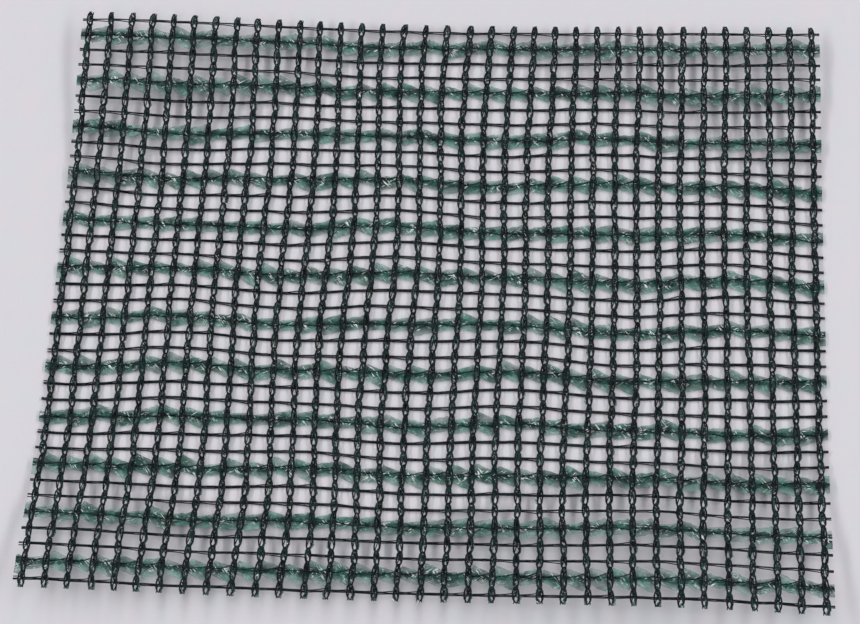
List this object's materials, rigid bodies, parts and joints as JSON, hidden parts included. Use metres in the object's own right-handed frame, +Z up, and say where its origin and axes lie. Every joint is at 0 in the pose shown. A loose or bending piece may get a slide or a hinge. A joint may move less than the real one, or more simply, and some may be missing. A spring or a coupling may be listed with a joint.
{
  "type": "windbreak netting",
  "caption": "Cut length of knitted windbreak netting: black knitted chains and cross filaments with rows of green film tape, lying flat in gentle waves.",
  "frame": {"origin": "centre of the bounding box, on the surface that the net lies on", "axes": "+X along the courses (the tapes and cross filaments), +Y along the knitted chains, +Z up from the surface"},
  "size_m": [0.146, 0.1178, 0.0076],
  "materials": {
    "monofilament": "glossy black polyethylene filament",
    "film_tape": "thin glossy dark green polyethylene film, creased and a little see-through"
  },
  "bodies": {
    "root": {"net": "monofilament"}
  },
  "joints": []
}
